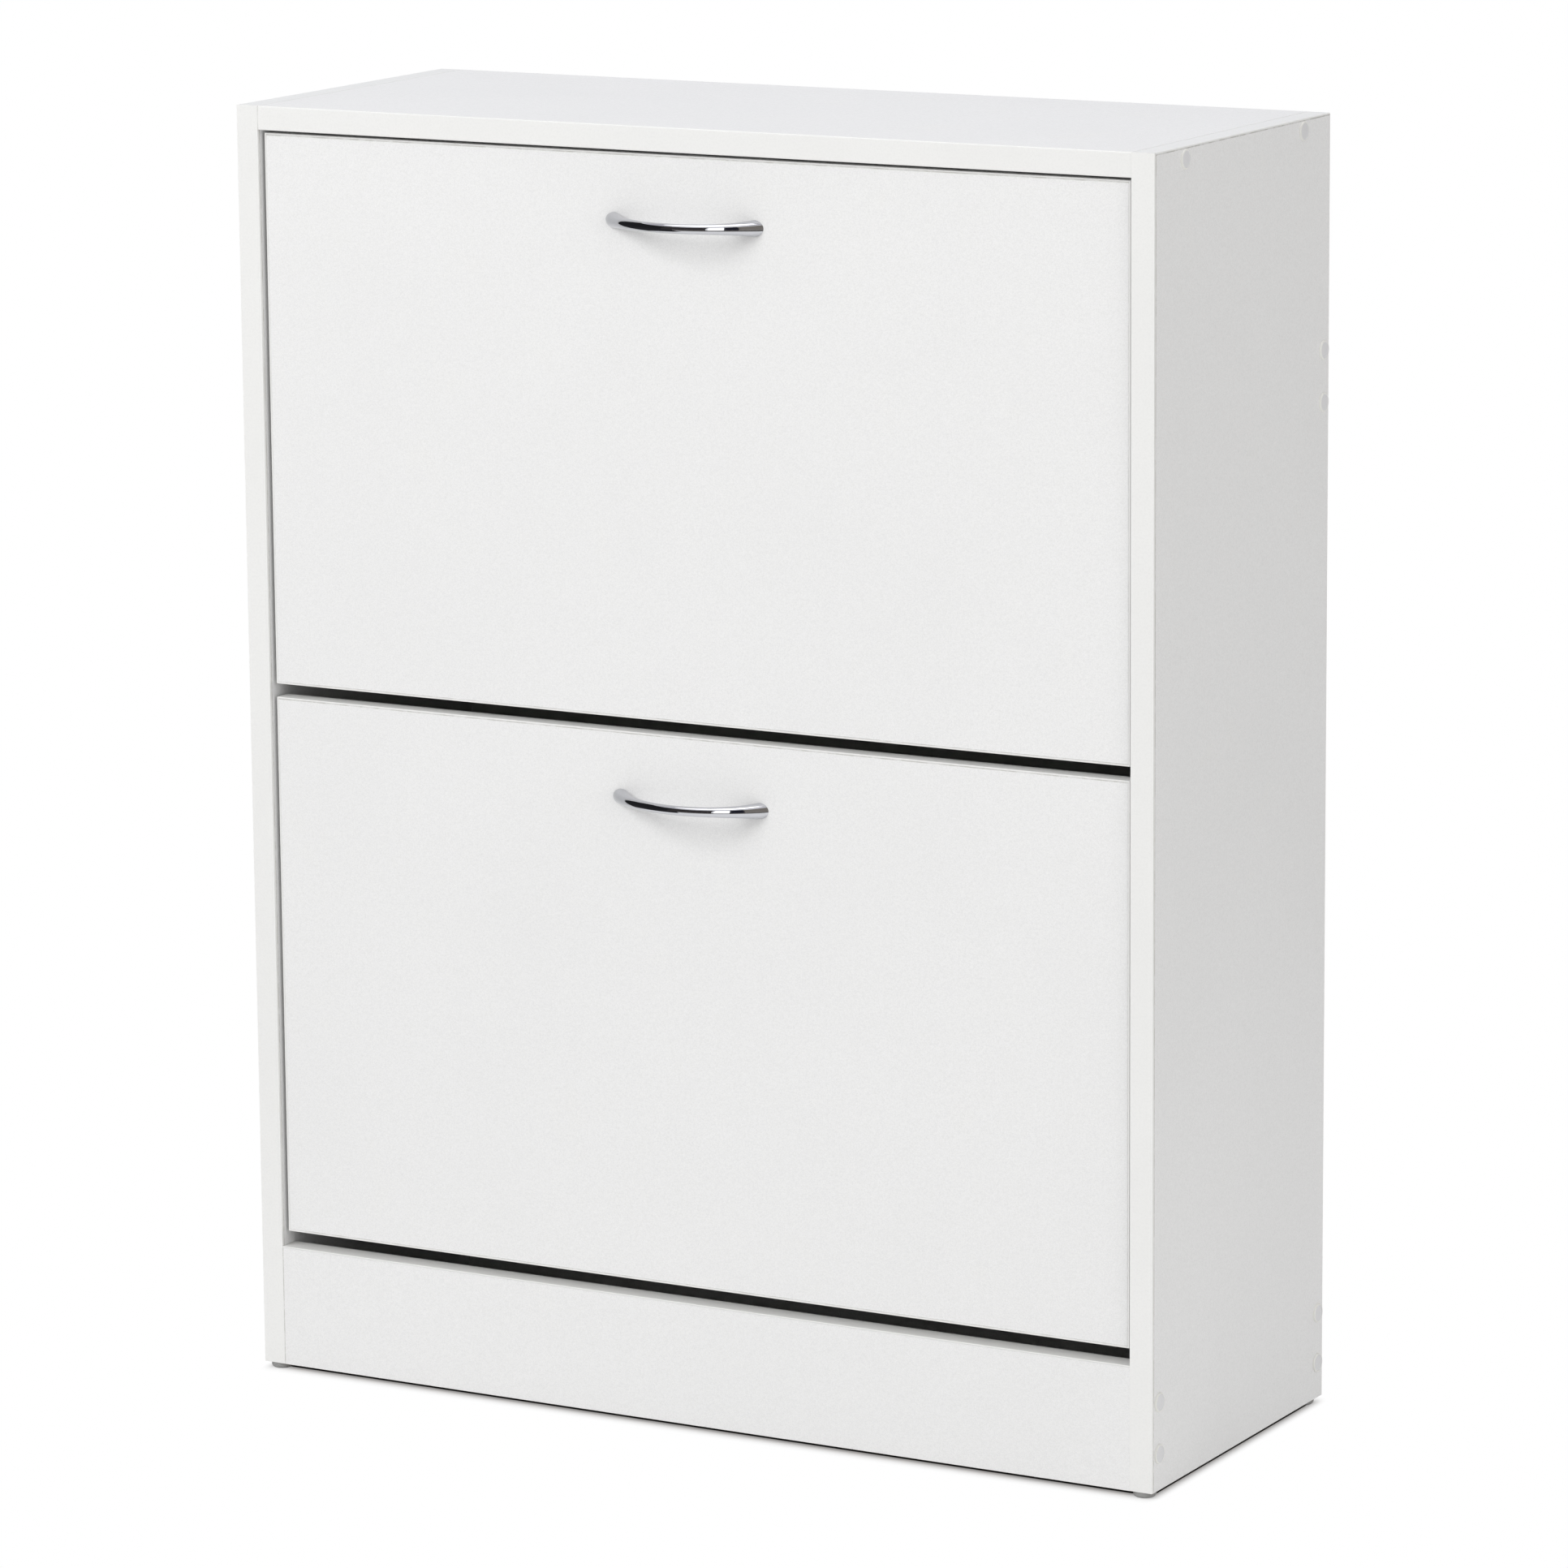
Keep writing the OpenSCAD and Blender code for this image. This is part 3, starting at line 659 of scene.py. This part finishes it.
def foot_glide(low, high):
    """Nailed floor glide: flat seat at the top, steep side, rounded sole with a sunk nail hole."""
    middle = (low + high) / 2
    height, radius = high.z - low.z, (high.x - low.x) / 2
    soft = height * 0.5
    hole, lip = 2.4 * MM, 0.2 * MM
    bpy.ops.mesh.primitive_cylinder_add(vertices=48, radius=radius, depth=height, location=middle)
    glide = settle(bpy.context.object)
    open_mesh(glide)
    choose_edges(glide, lambda a, b: max(a.z, b.z) < low.z + 0.1 * MM)
    bpy.ops.mesh.bevel(offset=soft, segments=6, affect="EDGES")
    choose_edges(glide, lambda a, b: min(a.z, b.z) > high.z - 0.1 * MM)
    bpy.ops.mesh.bevel(offset=0.25 * MM, segments=FINE, affect="EDGES")
    choose_faces(glide, lambda c, n: n.z < -0.99 and c.z < low.z + 0.01 * MM)
    bpy.ops.mesh.inset(thickness=radius - soft - hole, depth=0)
    bpy.ops.mesh.inset(thickness=0.15 * MM, depth=-lip)
    bpy.ops.mesh.inset(thickness=0.05 * MM, depth=-1.0 * MM)
    close_mesh()
    smooth(glide, 30)
    return glide


for end in ("front", "rear"):
    for side in ("left", "right"):
        node = "foot_glide_%s_%s" % (end, side)
        stand_for(foot_glide(*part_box(node)), node, glide_plastic)


NAIL_HEAD = 0.8 * MM  # how thick a nail's head is


def panel_pin():
    """Flat-headed panel pin, head towards +Y, with a pointed shank."""
    radius, shank, length = 2.2 * MM, 0.75 * MM, 12.5 * MM
    bpy.ops.mesh.primitive_cylinder_add(
        vertices=20, radius=radius, depth=NAIL_HEAD, location=(0, NAIL_HEAD / 2, 0),
        rotation=(math.radians(90), 0, 0),
    )
    nail = settle(bpy.context.object)
    open_mesh(nail)
    choose_edges(nail, lambda a, b: min(a.y, b.y) > NAIL_HEAD - 0.05 * MM)
    bpy.ops.mesh.bevel(offset=0.45 * MM, segments=3, affect="EDGES")
    choose_faces(nail, lambda c, n: n.y < -0.99)
    bpy.ops.mesh.inset(thickness=radius - shank, depth=0)
    bpy.ops.mesh.extrude_region_move(TRANSFORM_OT_translate={"value": (0, -length, 0)})
    bpy.ops.transform.resize(value=(0.2, 0.2, 0.2), center_override=(0, -length, 0))
    close_mesh()
    smooth(nail, 30)
    return nail


nail_spots = [
    Vector(((low.x + high.x) / 2, high.y - NAIL_HEAD, (low.z + high.z) / 2))
    for low, high in solid_boxes("back_nails")
]
stand_for(repeat(panel_pin(), nail_spots), "back_nails", zinc)


def pan_head(radius, height, shank, length):
    """Pan-head screw, head towards +Y with a cross recess, shank towards -Y."""
    bpy.ops.mesh.primitive_cylinder_add(
        vertices=32, radius=radius, depth=height, location=(0, height / 2, 0),
        rotation=(math.radians(90), 0, 0),
    )
    screw = settle(bpy.context.object)
    open_mesh(screw)
    choose_edges(screw, lambda a, b: min(a.y, b.y) > height - 0.05 * MM)
    bpy.ops.mesh.bevel(offset=height * 0.62, segments=5, affect="EDGES")
    choose_faces(screw, lambda c, n: n.y < -0.99)
    bpy.ops.mesh.inset(thickness=radius - shank, depth=0)
    bpy.ops.mesh.extrude_region_move(TRANSFORM_OT_translate={"value": (0, -length, 0)})
    close_mesh()
    for turn in (0, 90):
        put_down()
        bpy.ops.mesh.primitive_cube_add(
            size=1, location=(0, height, 0), rotation=(0, math.radians(turn), 0)
        )
        blade = bpy.context.object
        blade.scale = (radius * 1.15, height * 1.1, radius * 0.24)
        settle(blade)
        add_modifier(screw, "BOOLEAN", operation="DIFFERENCE", object=blade, solver="EXACT")
        bpy.data.objects.remove(blade)
    smooth(screw, 30)
    return screw


def screw_set(node, height, shank, short=0.0):
    """Pan-head screws at a node's screws, heads to the rear, each shorter than its solid by short."""
    solids = solid_boxes(node)
    low, high = solids[0]
    spots = [Vector(((a.x + b.x) / 2, b.y - height, (a.z + b.z) / 2)) for a, b in solids]
    screw = pan_head((high.x - low.x) / 2, height, shank, high.y - low.y - height - short)
    stand_for(repeat(screw, spots), node, zinc)


# ---------------------------------------------------------------- flaps


def bow_handle(flap):
    """Cast bow handle: a round bar swung in an arc from door to door, flaring towards both feet."""
    low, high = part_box(flap + "_handle")
    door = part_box(flap + "_door_panel")[0].y
    z = (low.z + high.z) / 2
    half = 48 * MM  # half the distance between its two screws
    thin, thick = 2.95 * MM, 5.0 * MM  # the bar's radius at the middle and at the feet
    beyond = 1.16  # the arc runs on past the door's face, where it is then cut
    reach = door - low.y - thin
    bend = (half * half + reach * reach) / (2 * reach)
    centre = Vector((0, door - reach + bend, z))
    sweep = math.asin(half / bend) * beyond
    steps = 48
    bpy.ops.mesh.primitive_circle_add(
        vertices=40, radius=thin, location=(-bend, centre.y, z), rotation=(math.radians(90), 0, 0)
    )
    bar = settle(bpy.context.object)
    open_mesh(bar)
    bpy.ops.mesh.select_mode(type="VERT")
    bpy.ops.mesh.select_all(action="SELECT")
    bpy.ops.mesh.spin(steps=steps, angle=2 * sweep, center=centre, axis=(0, 0, 1), dupli=False)
    close_mesh()
    # the spin starts at the left-hand quarter, so the arc is turned until its middle points forwards
    middle = sum((v.co for v in bar.data.vertices), Vector()) / len(bar.data.vertices) - centre
    swing = math.atan2(-1, 0) - math.atan2(middle.y, middle.x)
    bar.data.transform(
        Matrix.Translation(centre) @ Matrix.Rotation(swing, 4, "Z") @ Matrix.Translation(-centre)
    )
    open_mesh(bar)
    for k in range(steps + 1):
        angle = -sweep + 2 * sweep * k / steps
        hub = centre + Vector((math.sin(angle), -math.cos(angle), 0)) * bend
        bpy.ops.mesh.select_mode(type="VERT")
        bpy.ops.mesh.select_all(action="DESELECT")
        mesh = bmesh.from_edit_mesh(bar.data)
        for vert in mesh.verts:
            around = math.atan2(vert.co.x - centre.x, centre.y - vert.co.y)
            if abs(around - angle) < sweep / steps * 0.5:
                vert.select_set(True)
        mesh.select_flush_mode()
        bmesh.update_edit_mesh(bar.data)
        share = min(1.0, abs(angle) / (sweep / beyond))
        flare = 0.25 * share**2 + 0.75 * share**4
        size = (thin + (thick - thin) * flare) / thin
        bpy.ops.transform.resize(value=(size, size, size), center_override=hub)
    bpy.ops.mesh.select_mode(type="FACE")
    bpy.ops.mesh.select_all(action="SELECT")
    bpy.ops.mesh.bisect(
        plane_co=(0, door, z), plane_no=(0, 1, 0), clear_outer=True, use_fill=True
    )
    close_mesh()
    outward(bar)
    smooth(bar, 50)
    stand_for(bar, flap + "_handle", chrome)


# how far behind the pivot the bore, the front window, the stop slot and the rear window are cut
RACK_CUTS = [step * MM for step in (0, 34, 47.6, 132)]
OVER_BORE = 60 * MM  # how far above the pivot a plane parts the bore and slot from the windows
TAB_SCREWS = 280 * MM  # how far from the cabinet's middle the tabs' screws go in


def rack_cuts(flap, way):
    """Planes through the holes of a rack side, so that no face has a hole in its middle."""
    hub = Vector(next(j["pos_m"] for j in frame["joints"] if j["name"] == flap + "_flap_hinge"))
    cuts = [(hub + Vector((0, step, 0)), (0, 1, 0)) for step in RACK_CUTS]
    cuts.append((hub + Vector((0, 0, OVER_BORE)), (0, 0, 1)))
    cuts.append((Vector((way * TAB_SCREWS, 0, 0)), (1, 0, 0)))
    return cuts


for flap in ("upper", "lower"):
    eased(flap + "_door_panel", melamine_door[flap], 0.12)
    eased(flap + "_door_band", banding, 0.25, 3, cuts=[(Vector(), (1, 0, 0))])
    bow_handle(flap)
    # the bow's foot leans inwards, so the thread ends close behind the door face
    screw_set(flap + "_handle_screws", height=2.4 * MM, shank=2.0 * MM, short=5 * MM)
    screw_set(flap + "_rack_screws", height=1.8 * MM, shank=1.5 * MM)
    for side, way in (("left", -1), ("right", 1)):
        eased(
            flap + "_rack_side_" + side, rack_plastic, 0.3,
            cuts=rack_cuts(flap, way),
        )
    for part in ("floor", "divider", "shelf", "wall"):
        eased(flap + "_rack_" + part, hardboard_rack, 0.2)

# ---------------------------------------------------------------- camera

EYE = Vector((2.16248, -3.8724, 1.28238))
LIFT, TURN, ROLL = math.radians(11.40), math.radians(29.12), math.radians(-0.474)
LENS, SENSOR = 167.42, 36


def look():
    """The camera: it looks down by LIFT from TURN to the right, rolled by ROLL, without shift."""
    back = Vector(
        (math.sin(TURN) * math.cos(LIFT), -math.cos(TURN) * math.cos(LIFT), math.sin(LIFT))
    )
    right = Vector((math.cos(TURN), math.sin(TURN), 0))
    up = back.cross(right)
    across = right * math.cos(ROLL) + up * math.sin(ROLL)
    above = up * math.cos(ROLL) - right * math.sin(ROLL)
    data = bpy.data.cameras.new("camera")
    data.sensor_width = SENSOR
    data.lens = LENS
    data.clip_end = 60  # metres, past the floor's far corner
    camera = bpy.data.objects.new("camera", data)
    axes = Matrix((across, above, back)).transposed().to_4x4()
    camera.matrix_world = Matrix.Translation(EYE) @ axes
    bpy.context.scene.collection.objects.link(camera)
    bpy.context.scene.camera = camera


look()

# ---------------------------------------------------------------- studio


def glow(name, colour, strength):
    """A plain light-giving surface."""
    made = bpy.data.materials.new(name)
    made.use_nodes = True
    graph = Graph(made.node_tree)
    graph.tree.nodes.clear()
    light = {"Color": (*colour, 1.0), "Strength": strength}
    graph.end_in("ShaderNodeOutputMaterial", graph.node("ShaderNodeEmission", {}, light))
    return made


def plainly_seen(graph):
    """1 for rays from the camera, off gloss and through glass, 0 for light that spreads further."""
    camera, gloss, through = (
        graph.node("ShaderNodeLightPath", {}, {}, "Is %s Ray" % kind)
        for kind in ("Camera", "Glossy", "Transmission")
    )
    return (camera + gloss + through).held()


# The floor's shade close to the cabinet is painted by distance from its footprint: a painted shadow near black
# within it, then a painted soft shade fading to white.
UNDER = 0.0088  # how far in under the front the floor's full shade ends
NARROW = 2.0  # the shade beside the cabinet is this many times narrower than the one ahead of it
CONTACT = 0.0012  # how wide the edge of the full shade is
FADE = (-0.002, 0.018)  # where the soft shade ahead of that starts and ends
FOOT = 0.2  # how white the floor is where the soft shade is deepest


def floor_finish():
    """Pale studio floor: a painted shadow near black under the cabinet and a painted soft shade that fades by
    distance to plain white further off, with the real shadow showing through close by.
    """
    f = Finish("studio_floor", Roughness=0.9)
    x, y = f.parts(f.place)[:2]
    middle, half = (FRONT_Y + SIDE_HIGH.y) / 2, (SIDE_HIGH.y - FRONT_Y) / 2
    beside = (abs(x) - (SIDE_HIGH.x - UNDER / NARROW)) * NARROW
    beside = beside.math("MAXIMUM", beside, 0.0)
    ahead = abs(y - middle) - (half - UNDER)
    ahead = ahead.math("MAXIMUM", ahead, 0.0)
    away = (beside * beside + ahead * ahead) ** 0.5
    grain = f.noise(60.0, 3.0)
    # painted shadow: the floor's colour is near black under the cabinet, inside its footprint
    f.drive("Base Color", f.mix(away.rise(0.0, CONTACT), (0.05, 0.05, 0.05), (0.8, 0.8, 0.8)))
    f.drive("Roughness", 0.85 + grain * 0.1)
    white = f.node("ShaderNodeEmission", {}, {"Color": (1, 1, 1, 1), "Strength": 1.0})
    # painted soft shade: the plain white fades in with distance from the footprint
    painted_shade_white_share = (FOOT + (1 - FOOT) * away.rise(*FADE)) * away.rise(0.0, CONTACT)
    share = painted_shade_white_share * plainly_seen(f)
    shaded = Value(f, f.shader.outputs[0])
    mixed = f.node("ShaderNodeMixShader", {}, {0: share, 1: shaded, 2: white})
    out = f.tree.nodes["Material Output"]
    f.tree.links.new(mixed.out, out.inputs["Surface"])
    return f.material


put_down()
bpy.ops.mesh.primitive_grid_add(x_subdivisions=8, y_subdivisions=8, size=24, location=(0, 0, 0))
floor = bpy.context.object
floor.name = "studio_floor"
floor.data.materials.append(floor_finish())


def only_mirrored(card, name, tone, strength):
    """Makes a surface a card that shows in reflections alone, in polished metal above all."""
    card.name = name
    card.data.materials.append(glow(name, tone, strength))
    card.visible_camera = False
    card.visible_diffuse = False
    card.visible_shadow = False
    card.visible_transmission = False


def outside(middle, span):
    """Whether a place lies outside two angles, in degrees from straight ahead to the right."""
    return not span[0] <= math.degrees(math.atan2(middle.x, -middle.y)) <= span[1]


def screen(name, span, top, tone, strength=1.0, radius=3.4):
    """A curved card round the set, from the floor to its top, between two angles."""
    put_down()
    bpy.ops.mesh.primitive_cylinder_add(
        vertices=180, radius=radius, depth=top, location=(0, 0, top / 2), end_fill_type="NOTHING"
    )
    card = settle(bpy.context.object)
    open_mesh(card)
    choose_faces(card, lambda c, n: outside(c, span))
    bpy.ops.mesh.delete(type="FACE")
    close_mesh()
    only_mirrored(card, name, tone, strength)


def level_card(name, span, near, far, z, tone, strength=1.0):
    """A flat ring of card at one height, between two distances and two angles."""
    put_down()
    bpy.ops.mesh.primitive_circle_add(vertices=72, radius=far, fill_type="NGON", location=(0, 0, z))
    card = settle(bpy.context.object)
    open_mesh(card)
    bpy.ops.mesh.select_all(action="SELECT")
    bpy.ops.mesh.inset(thickness=far - near, depth=0)
    choose_faces(card, lambda c, n: math.hypot(c.x, c.y) < near * 0.5 or outside(c, span))
    bpy.ops.mesh.delete(type="FACE")
    close_mesh()
    only_mirrored(card, name, tone, strength)


screen("grey_card_behind_left", (-178, -130), 3.3, (0.60, 0.64, 0.70))
screen("dark_card_far_left", (-130, -32), 4.3, (0.02, 0.02, 0.022))
screen("dark_card_left", (-32, 14), 4.1, (0.05, 0.045, 0.045))
screen("window_card", (16, 30), 3.3, (1.0, 1.0, 1.0), strength=2.2, radius=3.2)
screen("dark_card_camera", (31, 42), 3.9, (0.02, 0.02, 0.03), radius=3.3)
screen("brown_card_right", (42, 178), 3.9, (0.26, 0.24, 0.215), radius=3.5)

FLOOR_CARD, CEILING = 0.004, 3.3  # heights of the level cards
level_card("dark_floor_card", (-130, -18), 0.62, 3.4, FLOOR_CARD, (0.03, 0.03, 0.032))
level_card("brown_floor_card", (-18, 178), 1.15, 3.2, FLOOR_CARD, (0.16, 0.15, 0.14))
level_card("grey_ceiling_card", (-180, 180), 1.5, 2.3, CEILING, (0.62, 0.61, 0.65))
level_card("overhead_card", (-180, 180), 0.02, 1.5, CEILING + 0.05, (1.0, 1.0, 1.0), strength=1.9)


def lamp(name, place, aim, size, power, colour=(1, 1, 1), mirrored=False):
    """A soft box that points from its place to its aim. Gloss shows it only where it is mirrored."""
    data = bpy.data.lights.new(name, "AREA")
    data.shape = "RECTANGLE"
    data.size, data.size_y = size
    data.energy = power
    data.color = colour
    made = bpy.data.objects.new(name, data)
    made.location = place
    made.rotation_mode = "QUATERNION"
    made.rotation_quaternion = (Vector(place) - Vector(aim)).to_track_quat("Z", "Y")
    made.visible_glossy = mirrored
    bpy.context.scene.collection.objects.link(made)


lamp("key_light", (-1.5, -2.9, 2.7), (0, 0, 0.45), (1.8, 1.8), 64.5)
lamp("fill_light", (2.9, -1.3, 1.1), (0, 0, 0.4), (1.6, 1.6), 17.2, (1.0, 0.988, 0.962))
lamp("top_light", (0.1, 0.2, 3.0), (0, 0, 0.8), (1.6, 1.2), 11, (0.96, 0.94, 1.0), mirrored=True)


def light_room():
    """A world that lights the set evenly, and that is plain white where it is seen itself."""
    world = bpy.data.worlds.new("studio")
    bpy.context.scene.world = world
    world.use_nodes = True
    graph = Graph(world.node_tree)
    graph.tree.nodes.clear()
    room = graph.node(
        "ShaderNodeBackground", {}, {"Color": (1.0, 0.999, 0.997, 1.0), "Strength": 0.582}
    )
    plain = graph.node("ShaderNodeBackground", {}, {"Color": (1, 1, 1, 1), "Strength": 1.0})
    both = graph.node("ShaderNodeMixShader", {}, {0: plainly_seen(graph), 1: room, 2: plain})
    graph.end_in("ShaderNodeOutputWorld", both)


light_room()
bpy.context.scene.view_settings.view_transform = "Standard"

put_down()
